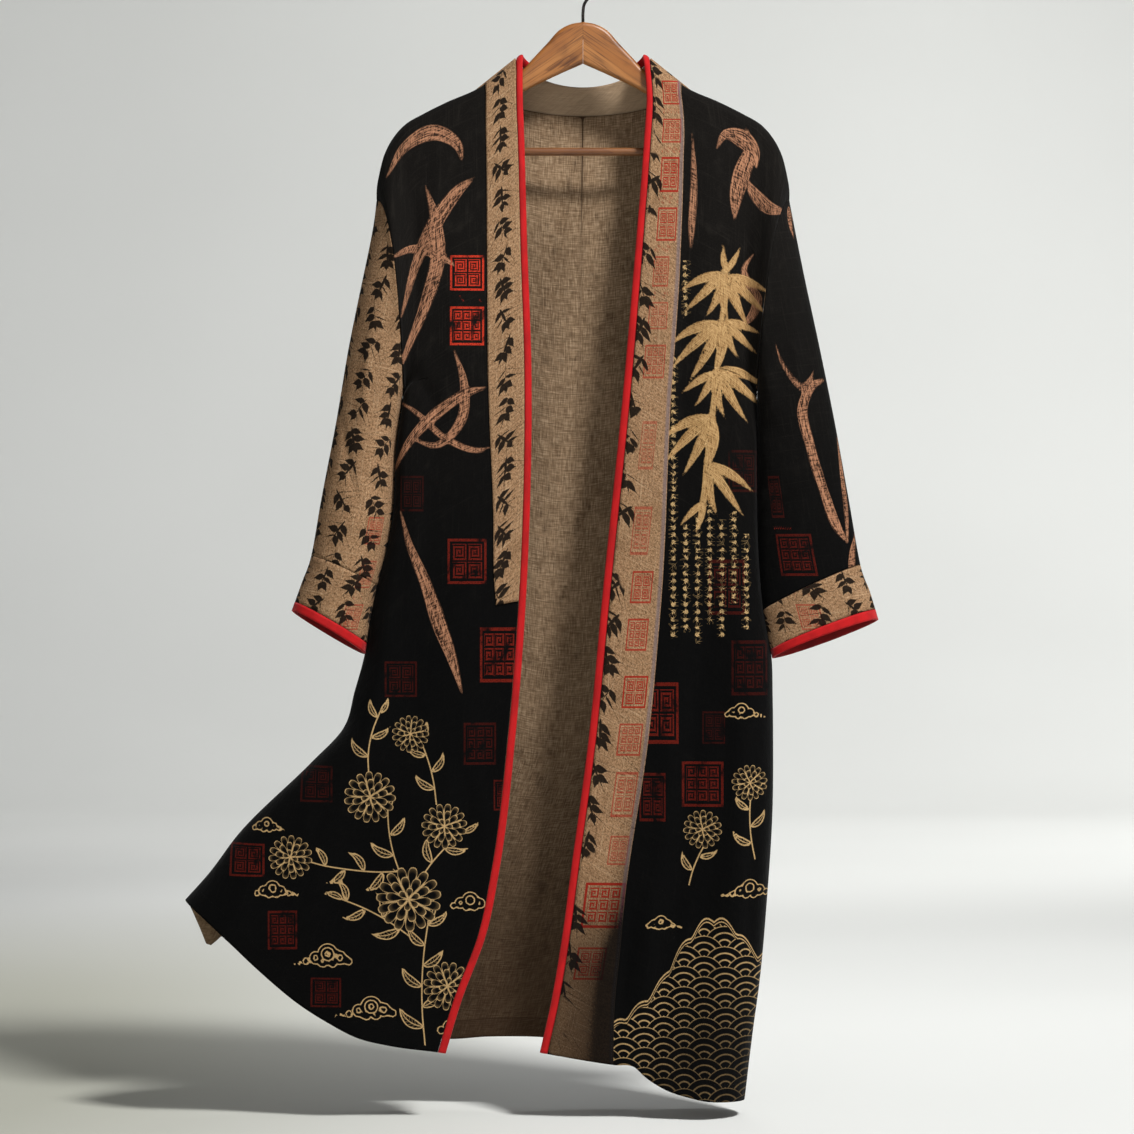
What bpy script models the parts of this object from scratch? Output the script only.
"""A long open kimono robe hung on a wooden hanger, modelled as the pieces that a maker cuts and sews.

Metres, +Z up. The origin is the hang point, under the top of the hook. The garment's front faces -Y,
and its right and left are the wearer's, so its right side lies at -X. Tables are in millimetres:
"out" is the distance from the garment's middle towards a side, and "drop" the distance below the
top of the wooden hanger.
"""

import math
from functools import partial

import bmesh
import bpy
import numpy as np
from mathutils import Matrix, Vector

MM = 0.001
STEP = 1e-4  # small step over a surface, to find its directions

# Driving sizes
HOOK_RISE = 0.070  # from the top of the wood to the hang point
CLOTH = 0.002  # wall of the panels and sleeves
BAND_WALL = 0.0012  # wall of a band that lies on a panel
COLLAR_WALL = 0.003
SEAM = 0.0003  # space between two pieces that are sewn together
TRIM = 0.0002  # taken off a wall's middle at a seam, so that its square-cut edges are a seam's space apart
EDGE_HALF_WIDTH = 0.005  # half width of the rolled red edge
EDGE_HALF_THICK = 0.0026  # and its half thickness
CUFF_EDGE = 0.012  # height of the red edge at a cuff
CUFF_EDGE_WALL = 0.0026
ROLL = 0.012  # how far the cloth falls while it rounds over the shoulder
ARMHOLE_DEPTH = 0.055  # from the shoulder's plane to the front or back of an armhole
WOOD = 0.014  # thickness of the hanger's wood
WOOD_EDGE = 0.0055  # rounding of the wood's edges
WOOD_SEAT = 0.0008  # space between the wood and the cloth that it carries
WIRE = 0.0019  # radius of the hook's wire
LOOP = 0.0195  # inner radius of the hook
STEM = 0.022  # length of wire inside the wood
BAR = 0.005  # radius of the hanger's bar
BAR_DROP = 0.162  # of its middle, below the top of the wood
BAR_REACH = 0.181  # from the middle to the end of the bar, inside the wood

BAND_FACE = CLOTH / 2 + SEAM + BAND_WALL  # from the middle of a panel's wall to a band's outer face

SIGN = {"right": -1, "left": 1}

# Top line of a shoulder, from the neck to the armhole: out, drop
SHOULDER = [
    (81, 47), (133, 85), (170, 101), (200, 116), (222, 129),
    (237, 146), (247, 165), (253, 187), (257, 211), (257, 223),
]
# Middle of the red edge down each front: drop, out on the right front, out on the left front
FRONT_EDGE = [
    (47, 78, 78), (94, 78, 82), (154, 76, 79), (275, 73, 70), (445, 68, 56), (723, 75, 28),
    (889, 88, 12), (1054, 108, -10), (1137, 125, -21), (1220, 156, -35), (1283, 175, -49),
]
# Side seams below the armhole: drop, out
SIDE = {
    "right": [
        (473, 223), (545, 228), (600, 231), (672, 242), (748, 258), (800, 270),
        (835, 284), (885, 300), (925, 338), (1013, 428), (1067, 469), (1097, 496),
    ],
    "left": [
        (473, 215), (550, 212), (623, 212), (695, 216), (765, 225), (815, 233),
        (897, 236), (980, 236), (1095, 229), (1204, 219), (1255, 212), (1345, 201),
    ],
}
# Hems of the fronts: out, drop
FRONT_HEM = {
    "right": [
        (180, 1282), (241, 1273), (278, 1263), (316, 1244),
        (359, 1217), (408, 1175), (451, 1137), (496, 1097),
    ],
    "left": [(-44, 1284), (38, 1297), (65, 1301), (75, 1311), (95, 1324), (141, 1339), (201, 1345)],
}
# Hem of the back, from its right side to its left: x, drop
BACK_HEM = [
    (-496, 1097), (-467, 1153), (-400, 1196), (-300, 1243), (-170, 1280),
    (-120, 1276), (-56, 1276), (60, 1300), (140, 1331), (201, 1345),
]
UNDERARM_ROW = 0.3  # the share of a panel's height where its armhole ends
# Drop of a side seam at some rows, which run from the shoulder to the hem: row, right, left
SIDE_ROWS = [(UNDERARM_ROW, 473, 473), (0.5, 684, 688), (0.7, 872, 918), (1, 1097, 1345)]
EDGE_TOP, EDGE_FALL = 47, 1236  # drop of a front edge's top, and its length
# How far the cloth hangs from the shoulder's plane: row, front, back
DEPTH = [
    (0, 12, 12), (0.08, 22, 24), (0.2, 34, 38), (0.35, 38, 44),
    (0.6, 42, 52), (0.85, 50, 62), (1, 58, 72),
]
EDGE_REST = 0.2  # share of that depth which a front loses towards its edge
SIDE_ROUND = 0.2  # share of a front, from its side seam, over which it rounds from the side to the front
ARMHOLE_SPREAD = 1.8  # how much further that rounding reaches beside an armhole
ARMHOLE_BLEND = 30  # depth in mm of the armhole's edge at which the further rounding is in full
# Soft folds that deepen towards the hem: place across the piece, spread, depth in mm, row where it starts
FOLDS = {
    "right": [(0.16, 0.08, 6, 0.5), (0.4, 0.1, -8, 0.4), (0.68, 0.1, 7, 0.45)],
    "left": [(0.22, 0.08, 6, 0.35), (0.5, 0.07, -9, 0.4)],
    "back": [
        (0.12, 0.05, 8, 0.45), (0.27, 0.06, -10, 0.35), (0.44, 0.06, 8, 0.3),
        (0.6, 0.06, -7, 0.4), (0.74, 0.06, 9, 0.35), (0.88, 0.04, -6, 0.5),
    ],
}
# Beige band beside a front edge: drop, width from the middle of the red edge
BAND = {
    "right": [(47, 53), (275, 54), (445, 54), (600, 46), (684, 41), (723, 35)],
    "left": [(47, 53), (275, 55), (445, 54), (723, 68), (889, 70), (1137, 68), (1220, 74), (1283, 88)],
}
BAND_END = {"right": 723, "left": 1283}
BAND_SHARE = 0.15  # share of a front at its edge, over which its width is measured
# Neck seam and top edge of the back collar, half round from shoulder to shoulder: out, back, drop at
# the shoulder, and how much further it drops at the middle of the back
NECK_SEAM = (131, 48, 85, 27.5)
COLLAR_TOP = (83.3, 43, 47, 29.5)
NECK_SQUARE = 0.8  # under 1, the neck is squarer than an ellipse from above
NECK_SAG = 1.6  # over 1, its drop gathers at the middle of the back
NECK_START, NECK_END = 0.27, 0.73  # the part of the back's top line that is the neck seam
COLLAR_START = 0.03  # share of the collar's height that the seam takes
EDGE_RUN = math.radians(38)  # how far the red edge follows the collar behind the neck
# Outer and inner edge of a sleeve: station, outer out, outer drop, inner out, inner drop, half depth
SLEEVE = {
    "right": [
        (0, 257, 223, 226, 473, 55), (0.1, 261, 255, 230, 502, 54), (0.25, 276, 330, 234, 545, 51),
        (0.4, 292, 410, 235, 588, 48), (0.55, 307, 500, 239, 630, 46), (0.7, 326, 600, 248, 672, 44),
        (0.8, 338, 668, 257, 705, 43), (0.9, 350, 702, 266, 748, 42), (1, 362, 736, 272, 789, 42),
    ],
    "left": [
        (0, 257, 223, 218, 473, 55), (0.1, 263, 255, 218, 505, 53), (0.25, 278, 330, 217, 550, 47),
        (0.4, 295, 410, 217, 600, 42), (0.55, 313, 500, 218, 645, 37), (0.7, 331, 600, 221, 695, 32),
        (0.8, 345, 679, 225, 735, 30), (0.9, 357, 713, 231, 766, 29), (1, 367, 747, 237, 794, 28),
    ],
}
CUFF_SEAM = 0.8  # station where the cuff's panel is sewn on
SLEEVE_CLOTH = {
    "sleeve_right": "beige_cloth",
    "sleeve_left": "black_cloth",
    "cuff_panel": "beige_cloth",
    "cuff_binding": "red_binding",
}
SLEEVE_FORWARD = 0.012  # how far a sleeve hangs forward at its cuff
MOUTH_TILT = 0.006  # how far a cuff's front lip is above its middle
ARMHOLE_BOW = 0.013  # how far the front armhole seam bows towards the neck
BOW_SKEW = 0.5  # how much more of that bow lies in the upper half
BOW_END = 0.3  # station where the sleeve has lost the bow
UNDERARM_CLEAR = 0.0026  # between the middles of the body's wall and the sleeve's, under the arm
SEAM_OUT = 0.0009  # how far a sleeve's top ring stands off the armhole, sideways
SEAM_DOWN = 0.0006  # and downwards, at the top of the shoulder
SEAM_END = 0.08  # station where that has faded
# Outline of one half of the hanger's wood: out, drop
WOOD_TOP = [(0, 0), (16, 3), (28, 9), (45, 27), (62, 45), (75, 59), (100, 73)]
WOOD_REST = [133, 152, 170, 186, 200, 210]  # where the wood carries the shoulder
WOOD_LOW = [
    (216, 140), (214, 157), (204, 171), (189, 174), (171, 163),
    (146, 142), (112, 114), (75, 87.5), (36, 68), (0, 52),
]
# Stem of the hook: x, height above the top of the wood
HOOK_STEM = [(0, -22), (0, 0), (0, 12), (1.5, 22), (8, 31), (16.5, 36)]
HOOK_LOOP = (-20, 216, 18)  # first angle, end and step of its loop, in degrees

# Base colour, roughness and metallic value of each finish
FINISHES = {
    "black_cloth": ((0.012, 0.012, 0.014), 0.85, 0.0),
    "beige_cloth": ((0.36, 0.24, 0.14), 0.9, 0.0),
    "red_binding": ((0.55, 0.01, 0.015), 0.6, 0.0),
    "oiled_wood": ((0.50, 0.22, 0.07), 0.4, 0.0),
    "dark_steel": ((0.05, 0.05, 0.05), 0.35, 1.0),
}


def through(stations, values, at):
    """Reads a smooth curve through the values, whose slope at each is that of its neighbours."""
    stations, values = np.asarray(stations, float), np.asarray(values, float)
    slopes = np.gradient(values, stations)
    at = np.clip(at, stations[0], stations[-1])
    i = np.clip(np.searchsorted(stations, at, side="right") - 1, 0, len(stations) - 2)
    step = stations[i + 1] - stations[i]
    t = (at - stations[i]) / step
    from_low = (1 + 2 * t) * (1 - t) ** 2 * values[i] + t * (1 - t) ** 2 * step * slopes[i]
    to_high = t * t * (3 - 2 * t) * values[i + 1] - t * t * (1 - t) * step * slopes[i + 1]
    return from_low + to_high


def column(table, i):
    return [row[i] for row in table]


def eased(t):
    t = np.clip(t, 0, 1)
    return t * t * (3 - 2 * t)


def quarter(t):
    """The rise of a quarter circle: steep at 0 and level from 1."""
    return np.sqrt(1 - (1 - np.clip(t, 0, 1)) ** 2)


def side_blend(share, side_depth):
    """How far a panel has turned from its side: rounded at a side seam, level at an armhole."""
    at_armhole = eased(side_depth / ARMHOLE_BLEND)
    return quarter(share) * (1 - at_armhole) + eased(share / ARMHOLE_SPREAD) * at_armhole


def shoulder_line(share, inner_out):
    """Out and drop in mm along the shoulder, from the armhole (0) to inner_out from the middle (1)."""
    out, drop = np.array(column(SHOULDER, 0), float), np.array(column(SHOULDER, 1), float)
    length = np.concatenate([[0], np.cumsum(np.hypot(np.diff(out), np.diff(drop)))])
    start = length[-1]
    end = np.interp(inner_out, out[:-1], length[:-1])
    at = start + (end - start) * share
    return through(length, out, at), through(length, drop, at)


def shoulder_drop(out):
    return np.interp(out, column(SHOULDER, 0)[:-1], column(SHOULDER, 1)[:-1])


def armhole_angle(row):
    """0 at the top of an armhole and pi under the arm."""
    return np.arccos(np.clip(1 - 2 * row / UNDERARM_ROW, -1, 1))


def armhole(side, angle, bow):
    """Out, depth and drop in mm on an armhole's seam; bow is how far it leans to the neck."""
    top_out, top_drop = SLEEVE[side][0][1:3]
    low_out, low_drop = SLEEVE[side][0][3:5]
    lean = bow / MM * np.sin(angle) * (1 + BOW_SKEW * np.cos(angle))
    out = (top_out + low_out) / 2 + (top_out - low_out) / 2 * np.cos(angle) - lean
    drop = (top_drop + low_drop) / 2 + (top_drop - low_drop) / 2 * np.cos(angle)
    return out, ARMHOLE_DEPTH / MM * np.sin(angle), drop


def side_line(side, row, bow):
    """Out, depth and drop in mm down a panel's side: half of the armhole, and then the side seam."""
    angle = armhole_angle(row)
    hole_out, hole_depth, hole_drop = armhole(side, angle, bow)
    hole_out = hole_out - UNDERARM_CLEAR / MM * ((1 - np.cos(angle)) / 2) ** 3
    drop = through(column(SIDE_ROWS, 0), column(SIDE_ROWS, 1 if side == "right" else 2), row)
    seam_out = through(column(SIDE[side], 0), column(SIDE[side], 1), drop)
    above = row < UNDERARM_ROW
    out = np.where(above, hole_out, seam_out)
    return out, np.where(above, hole_depth, 0), np.where(above, hole_drop, drop)


def folds(piece, across, row):
    """Depth in mm that the soft folds add to a piece."""
    total = 0
    for place, spread, depth, start in FOLDS[piece]:
        shape = np.exp(-(((across - place) / spread) ** 2))
        total = total + depth * shape * eased((row - start) / (1 - start))
    return total


def patch(top, bottom, low, high, across, row):
    """Fills in between four edge curves. The top and bottom ones are given with their two end values."""
    corner_low = (1 - row) * top[1] + row * bottom[1]
    corner_high = (1 - row) * top[2] + row * bottom[2]
    between = (1 - row) * top[0] + row * bottom[0]
    return between + (1 - across) * (low - corner_low) + across * (high - corner_high)


def points(out, depth, drop):
    return np.stack(np.broadcast_arrays(out * MM, depth * MM, -HOOK_RISE - drop * MM), axis=-1)


def front(side, across, row):
    """The middle of a front's wall, across from the side seam (0) to the front edge (1)."""
    across, row = np.broadcast_arrays(np.asarray(across, float), np.asarray(row, float))
    edge_gap = (EDGE_HALF_WIDTH + SEAM) / MM
    edge_drop = EDGE_TOP + EDGE_FALL * row
    edges = column(FRONT_EDGE, 1 if side == "right" else 2)
    edge_out = through(column(FRONT_EDGE, 0), edges, edge_drop) + edge_gap
    side_out, side_depth, side_drop = side_line(side, row, ARMHOLE_BOW)
    neck_out = edges[0] + edge_gap
    top_out, top_drop = shoulder_line(across, neck_out)
    hem = FRONT_HEM[side]
    hem_start, hem_end = hem[-1], (edges[-1] + edge_gap, EDGE_TOP + EDGE_FALL)
    hem_out = hem_start[0] + (hem_end[0] - hem_start[0]) * across
    hem_drop = through(column(hem, 0), column(hem, 1), hem_out)
    first = SHOULDER[-1]
    top, bottom = (top_out, first[0], neck_out), (hem_out, hem_start[0], hem_end[0])
    out = patch(top, bottom, side_out, edge_out, across, row)
    top, bottom = (top_drop, first[1], EDGE_TOP), (hem_drop, hem_start[1], hem_end[1])
    drop = patch(top, bottom, side_drop, edge_drop, across, row)
    hang = through(column(DEPTH, 0), column(DEPTH, 1), row)
    hang = hang * (1 - EDGE_REST * across**3 * eased(row / EDGE_REST))
    inner = hang * quarter(row * EDGE_FALL * MM / ROLL) + folds(side, across, row)
    depth = side_depth + (inner - side_depth) * side_blend(across / SIDE_ROUND, side_depth)
    return points(out * SIGN[side], -(depth + TRIM / MM), drop)


def neck(curve, turn):
    """x, depth and drop in mm round the back of the neck, from the right shoulder (0) to the left (pi)."""
    out, back, drop, fall = curve
    around = np.sin(np.clip(turn, 0, math.pi))
    return -out * np.cos(turn), back * around**NECK_SQUARE, drop + fall * around**NECK_SAG


def back_top(across):
    """x, depth and drop in mm along the top of the back panel, from the right armhole to the left."""
    seam_out = NECK_SEAM[0]
    right_out, right_drop = shoulder_line(np.clip(across / NECK_START, 0, 1), seam_out)
    left_out, left_drop = shoulder_line(np.clip((1 - across) / (1 - NECK_END), 0, 1), seam_out)
    turn = np.clip((across - NECK_START) / (NECK_END - NECK_START), 0, 1) * math.pi
    neck_x, neck_depth, neck_drop = neck(NECK_SEAM, turn)
    on_right, on_left = across <= NECK_START, across >= NECK_END
    x = np.where(on_right, -right_out, np.where(on_left, left_out, neck_x))
    drop = np.where(on_right, right_drop, np.where(on_left, left_drop, neck_drop))
    return x, np.where(on_right | on_left, 0, neck_depth), drop


def back(across, row):
    """The middle of the back panel's wall, across from its right side (0) to its left (1)."""
    across, row = np.broadcast_arrays(np.asarray(across, float), np.asarray(row, float))
    right_out, right_depth, right_drop = side_line("right", row, 0)
    left_out, left_depth, left_drop = side_line("left", row, 0)
    top_x, top_depth, top_drop = back_top(across)
    hem_x = BACK_HEM[0][0] + (BACK_HEM[-1][0] - BACK_HEM[0][0]) * across
    hem_drop = through(column(BACK_HEM, 0), column(BACK_HEM, 1), hem_x)
    first, last = SHOULDER[-1], BACK_HEM[-1]
    top, bottom = (top_x, -first[0], first[0]), (hem_x, BACK_HEM[0][0], last[0])
    x = patch(top, bottom, -right_out, left_out, across, row)
    top, bottom = (top_drop, first[1], first[1]), (hem_drop, BACK_HEM[0][1], last[1])
    drop = patch(top, bottom, right_drop, left_drop, across, row)
    hang = through(column(DEPTH, 0), column(DEPTH, 2), row)
    top_depth = top_depth * (1 - eased(row / UNDERARM_ROW))
    hang = (hang**4 + top_depth**4) ** 0.25
    rolled = quarter(row * EDGE_FALL * MM / ROLL)
    inner = top_depth + (hang - top_depth) * rolled + folds("back", across, row)
    nearest = np.minimum(across, 1 - across)
    side_depth = np.where(across < 0.5, right_depth, left_depth)
    depth = side_depth + (inner - side_depth) * side_blend(nearest / (SIDE_ROUND / 2), side_depth)
    under_collar = (across > NECK_START) & (across < NECK_END)
    gap = np.where(under_collar, 2 * TRIM / MM, 0) * (1 - rolled)
    return points(x, depth + TRIM / MM, drop + gap)


def collar(turn, height):
    """The middle of the back collar's wall, from the neck seam (0) to its top edge (1)."""
    low, high = neck(NECK_SEAM, turn), neck(COLLAR_TOP, turn)
    x, depth, drop = (a + (b - a) * height for a, b in zip(low, high))
    return points(x, depth + TRIM / MM, drop)


def sleeve(side, angle, station):
    """The middle of a sleeve's wall: angle 0 on its outer edge and a quarter turn at its front."""
    table = SLEEVE[side]
    outer_out, outer_drop, inner_out, inner_drop, deep = (
        through(column(table, 0), column(table, i), station) for i in range(1, 6)
    )
    cos, sin = np.cos(angle), np.sin(angle)
    fade = 1 - eased(station / BOW_END)
    lean = ARMHOLE_BOW / MM * np.maximum(sin, 0) * (1 + BOW_SKEW * cos) * fade
    out = (outer_out + inner_out) / 2 + (outer_out - inner_out) / 2 * cos - lean
    drop = (outer_drop + inner_drop) / 2 + (outer_drop - inner_drop) / 2 * cos
    forward = SLEEVE_FORWARD / MM * eased(station)
    tilt = MOUTH_TILT / MM * eased(station) * sin
    at_seam = 1 - eased(station / SEAM_END)
    out = out + SEAM_OUT / MM * at_seam * (1 - np.maximum(cos, 0) ** 8)
    drop = drop + SEAM_DOWN / MM * at_seam * np.maximum(cos, 0)
    return points(out * SIGN[side], -(deep * sin + forward), drop - tilt)


def unit(vectors):
    return vectors / np.linalg.norm(vectors, axis=-1, keepdims=True)


def directions(surface, a, b):
    """The unit direction along a, and the unit normal, of a surface that two numbers run over."""
    along_a = surface(a + STEP, b) - surface(a - STEP, b)
    along_b = surface(a, b + STEP) - surface(a, b - STEP)
    return unit(along_a), unit(np.cross(along_a, along_b))


def finish(name):
    if name in bpy.data.materials:
        return bpy.data.materials[name]
    colour, roughness, metallic = FINISHES[name]
    material = bpy.data.materials.new(name)
    material.use_nodes = True
    shader = material.node_tree.nodes["Principled BSDF"]
    shader.inputs["Base Color"].default_value = (*colour, 1)
    shader.inputs["Roughness"].default_value = roughness
    shader.inputs["Metallic"].default_value = metallic
    material.diffuse_color = (*colour, 1)
    return material


def add(name, mesh, finish_name, collection):
    mesh.materials.append(finish(finish_name))
    mesh.shade_smooth()
    piece = bpy.data.objects.new(name, mesh)
    collection.objects.link(piece)
    return piece


def cloth_piece(name, across, rows, place, wall, cloth, collection, closed=False):
    """A sheet over the given places, moved onto the surface and given its wall. A closed one is a tube."""
    mesh = bpy.data.meshes.new(name)
    sheet = bmesh.new()
    bmesh.ops.create_grid(sheet, x_segments=len(across) - 1, y_segments=len(rows) - 1, size=1)
    grid = place(*np.meshgrid(across, rows)).reshape(-1, 3)
    for vert, where in zip(sheet.verts, grid):
        vert.co = where
    if closed:
        bmesh.ops.remove_doubles(sheet, verts=sheet.verts, dist=1e-6)
    sheet.to_mesh(mesh)
    sheet.free()
    piece = add(name, mesh, cloth, collection)
    wall_modifier = piece.modifiers.new("wall", "SOLIDIFY")
    wall_modifier.thickness = wall
    wall_modifier.offset = 0
    return piece


def rows_from(*runs):
    """Joins runs of evenly spaced numbers, each given as start, end and steps."""
    joined = [np.linspace(start, end, steps + 1)[1:] for start, end, steps in runs]
    return np.concatenate([[runs[0][0]], *joined])


ROLL_TURNS = np.radians([0, 8, 25, 45, 65, 90])
ROLL_ROWS = ROLL / (EDGE_FALL * MM) * (1 - np.cos(ROLL_TURNS))
SIDE_TURNS = np.radians([0, 8, 28, 50, 70, 90])
SLEEVE_SIDES = 24
# The rows of a panel beside its armhole are where the corners of the sleeve's first ring are.
ARMHOLE_ROWS = UNDERARM_ROW * (1 - np.cos(np.linspace(0, math.pi, SLEEVE_SIDES // 2 + 1))) / 2
TOP_ROWS = [ROLL_ROWS[:4], ARMHOLE_ROWS[1:2], ROLL_ROWS[5:], ARMHOLE_ROWS[2:]]
PANEL_ROWS = np.concatenate([*TOP_ROWS, rows_from((UNDERARM_ROW, 1, 13))[1:]])


def side_places(share):
    return share * (1 - np.cos(SIDE_TURNS))


def make_panels(collection):
    for side in SIGN:
        across = np.concatenate([side_places(SIDE_ROUND), np.linspace(SIDE_ROUND, 1, 11)[1:]])
        place = partial(front, side)
        cloth_piece(f"front_panel_{side}", across, PANEL_ROWS, place, CLOTH, "black_cloth", collection)
    low = side_places(SIDE_ROUND / 2)
    near_neck = NECK_START + 0.04
    middle = rows_from((low[-1], NECK_START, 3), (NECK_START, near_neck, 2), (near_neck, 0.5, 4))
    half = np.concatenate([low, middle[1:]])
    across = np.concatenate([half, (1 - half[:-1])[::-1]])
    cloth_piece("back_panel", across, PANEL_ROWS, back, CLOTH, "black_cloth", collection)


def front_directions(side, across, row):
    """The direction towards the front edge, and the one out of the robe, at a place on a front."""
    along, normal = directions(partial(front, side), across, np.maximum(row, 2 * STEP))
    return along, normal * SIGN[side]


def band_place(side, share, row):
    """A band's points: those of its front panel, moved out past the panel's wall."""
    drop = EDGE_TOP + EDGE_FALL * row
    width = through(column(BAND[side], 0), column(BAND[side], 1), drop) - (EDGE_HALF_WIDTH + SEAM) / MM
    edge, near_edge = (front(side, np.full_like(row, a), row) for a in (1, 1 - BAND_SHARE))
    covered = width * MM / np.linalg.norm(edge - near_edge, axis=-1) * BAND_SHARE
    across = 1 - share * covered
    _, outward = front_directions(side, across, row)
    return front(side, across, row) + outward * (CLOTH / 2 + SEAM + BAND_WALL / 2)


def make_bands(collection):
    for side in SIGN:
        end = (BAND_END[side] - EDGE_TOP) / EDGE_FALL
        rows = np.append(PANEL_ROWS[PANEL_ROWS < end - 100 * STEP], end)
        place = partial(band_place, side)
        shares = np.linspace(0, 1, 4)
        cloth_piece(f"front_band_{side}", shares, rows, place, BAND_WALL, "beige_cloth", collection)


def collar_outward(turn, height):
    """The direction out of the neck at a place on the back collar."""
    _, normal = directions(collar, np.clip(turn, 100 * STEP, math.pi - 100 * STEP), height)
    return -normal


def collar_place(turn, height):
    """The collar's points, moved so that its outer face lies level with the bands'."""
    return collar(turn, height) + collar_outward(turn, height) * (BAND_FACE - COLLAR_WALL / 2)


def make_collar(collection):
    start = np.array([0, 0.004, 0.02, 0.05])
    turns = math.pi * np.concatenate([start, np.linspace(0.1, 0.9, 13), 1 - start[::-1]])
    heights = np.append(COLLAR_START, np.linspace(0, 1, 4)[1:])
    cloth_piece("collar_back", turns, heights, collar_place, COLLAR_WALL, "beige_cloth", collection)


def sleeve_stations(side):
    """The rings of a sleeve, its cuff panel and its red edge, a seam apart."""
    seam_row = [row[0] for row in SLEEVE[side]].index(CUFF_SEAM)
    span = np.array(SLEEVE[side][-1][1:5]) - np.array(SLEEVE[side][seam_row][1:5])
    length = np.hypot(span[0] + span[2], span[1] + span[3]) / 2 * MM
    edge_start = 1 - (1 - CUFF_SEAM) * CUFF_EDGE / length
    gap = (1 - CUFF_SEAM) * SEAM / length
    return {
        "sleeve": np.concatenate([[0, 0.02, 0.06, 0.12], np.linspace(0.2, CUFF_SEAM - gap, 8)]),
        "cuff_panel": np.linspace(CUFF_SEAM + gap, edge_start - gap, 4),
        "cuff_binding": np.array([edge_start + gap, 1]),
    }


def make_sleeves(collection):
    angles = np.linspace(0, 2 * math.pi, SLEEVE_SIDES + 1)
    for side in SIGN:
        for piece, stations in sleeve_stations(side).items():
            name = f"{piece}_{side}"
            wall = CUFF_EDGE_WALL if piece == "cuff_binding" else CLOTH
            cloth = SLEEVE_CLOTH[name] if piece == "sleeve" else SLEEVE_CLOTH[piece]
            cloth_piece(name, angles, stations, partial(sleeve, side), wall, cloth, collection, closed=True)


def loft(name, rings, finish_name, collection):
    """A solid through rings of as many points each, closed at both ends."""
    mesh = bpy.data.meshes.new(name)
    solid = bmesh.new()
    loops = []
    for ring in rings:
        verts = [solid.verts.new(p) for p in ring]
        loops.append([solid.edges.new((a, b)) for a, b in zip(verts, verts[1:] + verts[:1])])
    for one, other in zip(loops, loops[1:]):
        bmesh.ops.bridge_loops(solid, edges=one + other)
    bmesh.ops.holes_fill(solid, edges=loops[0] + loops[-1], sides=0)
    bmesh.ops.recalc_face_normals(solid, faces=solid.faces)
    solid.to_mesh(mesh)
    solid.free()
    return add(name, mesh, finish_name, collection)


def oval(place, along, outward):
    """A ring of the rolled red edge, beside a place on the edge that it covers."""
    middle = place + along * (EDGE_HALF_WIDTH + SEAM) + outward * (BAND_FACE - EDGE_HALF_THICK)
    wide, thick = along * EDGE_HALF_WIDTH, outward * EDGE_HALF_THICK
    angles = np.linspace(0, 2 * math.pi, 8, endpoint=False)
    return [middle + wide * math.cos(a) + thick * math.sin(a) for a in angles]


def make_front_bindings(collection):
    for side in SIGN:
        rings = []
        for row in PANEL_ROWS[::-1]:
            along, outward = front_directions(side, 1.0, row)
            rings.append(oval(front(side, 1.0, row), along, outward))
        for turn in np.linspace(0, EDGE_RUN, 6)[1:]:
            around = turn if side == "right" else math.pi - turn
            up = unit(collar(around, 1.0) - collar(around, 1.0 - 100 * STEP))
            rings.append(oval(collar(around, 1.0), up, collar_outward(around, 1.0)))
        loft(f"front_binding_{side}", rings, "red_binding", collection)


def make_hook(collection):
    """A wire that rises from the wood, bows to one side and goes over the rail, open on the other side."""
    radius = LOOP + WIRE
    route = [(x * MM, height * MM - HOOK_RISE) for x, height in HOOK_STEM]
    route += [(radius * math.cos(a), radius * math.sin(a) - LOOP) for a in np.radians(np.arange(*HOOK_LOOP))]
    curve = bpy.data.curves.new("hook_wire", "CURVE")
    curve.dimensions = "3D"
    curve.bevel_depth = WIRE
    curve.bevel_resolution = 2
    curve.use_fill_caps = True
    spline = curve.splines.new("POLY")
    spline.points.add(len(route) - 1)
    for point, (x, z) in zip(spline.points, route):
        point.co = (x, 0, z, 1)
    curve.materials.append(finish("dark_steel"))
    hook = bpy.data.objects.new("hanger_hook", curve)
    collection.objects.link(hook)


def round_bar(name, radius, start, end, sides, collection):
    """A round bar from one place to another, as a mesh object."""
    mesh = bpy.data.meshes.new(name)
    bar = bmesh.new()
    along = Vector(end) - Vector(start)
    turn = along.to_track_quat("Z", "Y").to_matrix().to_4x4()
    matrix = Matrix.Translation((Vector(start) + Vector(end)) / 2) @ turn
    bmesh.ops.create_cone(
        bar, cap_ends=True, segments=sides, radius1=radius, radius2=radius, depth=along.length, matrix=matrix
    )
    bar.to_mesh(mesh)
    bar.free()
    piece = bpy.data.objects.new(name, mesh)
    collection.objects.link(piece)
    return piece


def wood_outline():
    rest = [(out, shoulder_drop(out) + (CLOTH / 2 + WOOD_SEAT) / MM) for out in WOOD_REST]
    outline = WOOD_TOP + rest + WOOD_LOW
    return [(max(out * MM, SEAM / 2), -HOOK_RISE - drop * MM) for out, drop in outline]


def make_bores(cutters):
    """The cutters for the holes that the bar and the hook's stem are glued in."""
    height = -HOOK_RISE - BAR_DROP
    reach = BAR_REACH + SEAM
    bar_bore = round_bar("bar_bore", BAR + SEAM, (-reach, 0, height), (reach, 0, height), 20, cutters)
    foot, mouth = -HOOK_RISE - STEM - SEAM, -HOOK_RISE + STEM
    stem_bore = round_bar("stem_bore", WIRE + SEAM, (0, 0, foot), (0, 0, mouth), 16, cutters)
    for cutter in (bar_bore, stem_bore):
        cutter.hide_render = True
        cutter.display_type = "WIRE"
    return bar_bore, stem_bore


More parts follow.
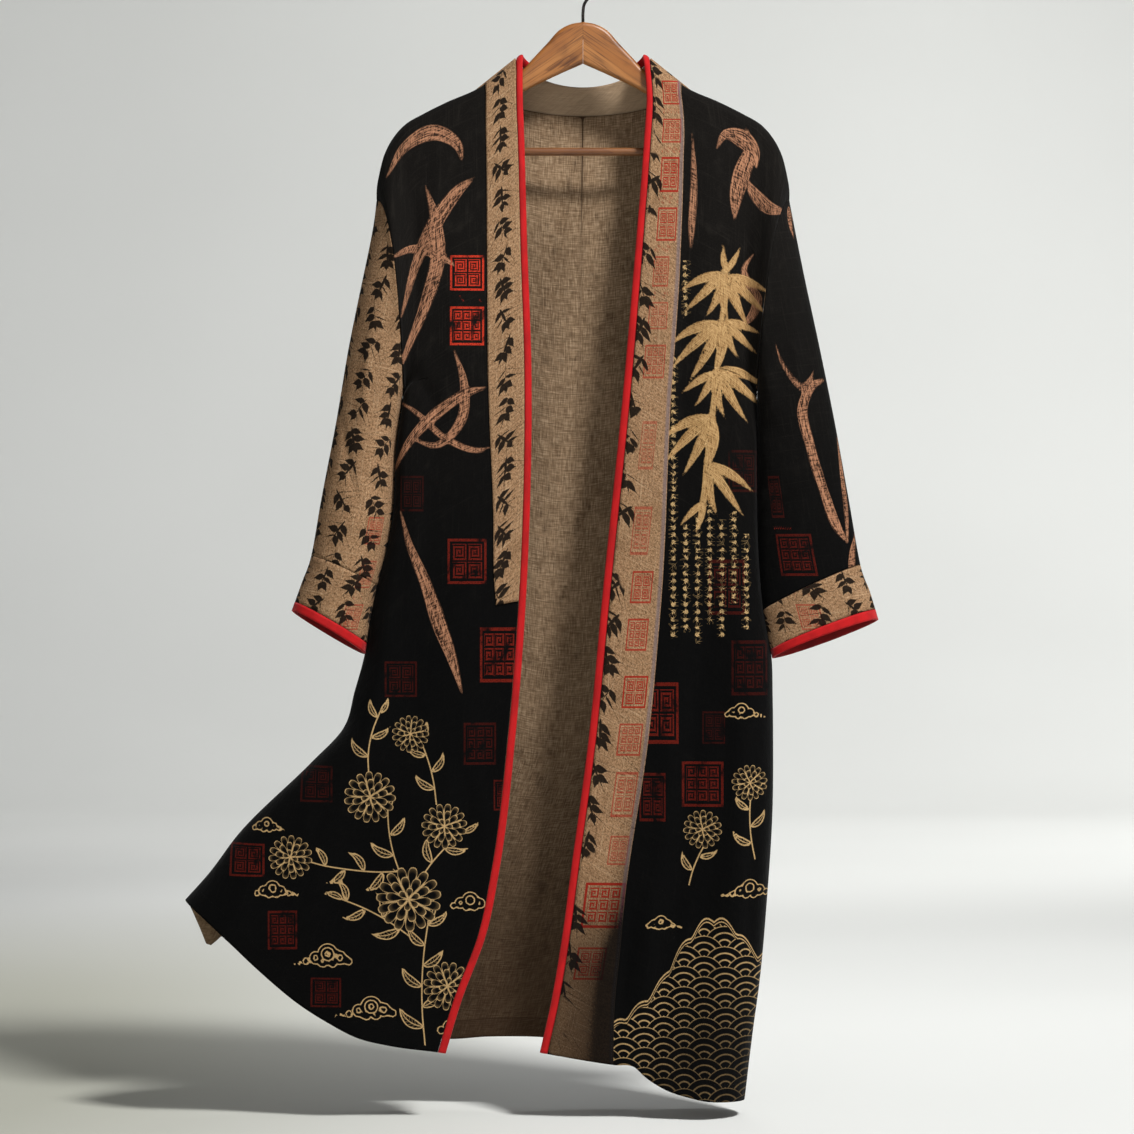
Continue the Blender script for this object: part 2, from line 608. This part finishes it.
def make_arm(side, bores, collection):
    """Half of the hanger's wood: its outline extruded, its edges rounded but for the middle joint's."""
    mesh = bpy.data.meshes.new(f"hanger_arm_{side}")
    arm = bmesh.new()
    face = arm.faces.new([arm.verts.new((SIGN[side] * x, -WOOD / 2, z)) for x, z in wood_outline()])
    made = bmesh.ops.extrude_face_region(arm, geom=[face])
    moved = [v for v in made["geom"] if isinstance(v, bmesh.types.BMVert)]
    bmesh.ops.translate(arm, verts=moved, vec=(0, WOOD, 0))
    bmesh.ops.recalc_face_normals(arm, faces=arm.faces)
    rims = []
    for edge in arm.edges:
        one, other = (v.co for v in edge.verts)
        if abs(one.y - other.y) < WOOD / 2 and max(abs(one.x), abs(other.x)) > SEAM:
            rims.append(edge)
    bmesh.ops.bevel(
        arm, geom=rims, offset=WOOD_EDGE, segments=3, profile=0.5,
        affect="EDGES", material=-1, clamp_overlap=True,
    )
    arm.to_mesh(mesh)
    arm.free()
    piece = add(f"hanger_arm_{side}", mesh, "oiled_wood", collection)
    for bore in bores:
        cut = piece.modifiers.new(bore.name, "BOOLEAN")
        cut.operation = "DIFFERENCE"
        cut.object = bore


def make_bar(collection):
    height = -HOOK_RISE - BAR_DROP
    bar = round_bar("hanger_bar", BAR, (-BAR_REACH, 0, height), (BAR_REACH, 0, height), 20, collection)
    bar.data.materials.append(finish("oiled_wood"))
    bar.data.shade_smooth()
    bar.data.set_sharp_from_angle(angle=math.radians(40))


def main():
    for existing in list(bpy.data.objects):
        bpy.data.objects.remove(existing, do_unlink=True)
    bpy.context.scene.unit_settings.scale_length = 1
    kimono = bpy.data.collections.new("kimono")
    cutters = bpy.data.collections.new("cutters")
    for collection in (kimono, cutters):
        bpy.context.scene.collection.children.link(collection)
    make_panels(kimono)
    make_sleeves(kimono)
    make_bands(kimono)
    make_collar(kimono)
    make_front_bindings(kimono)
    bores = make_bores(cutters)
    for side in SIGN:
        make_arm(side, bores, kimono)
    make_bar(kimono)
    make_hook(kimono)


main()
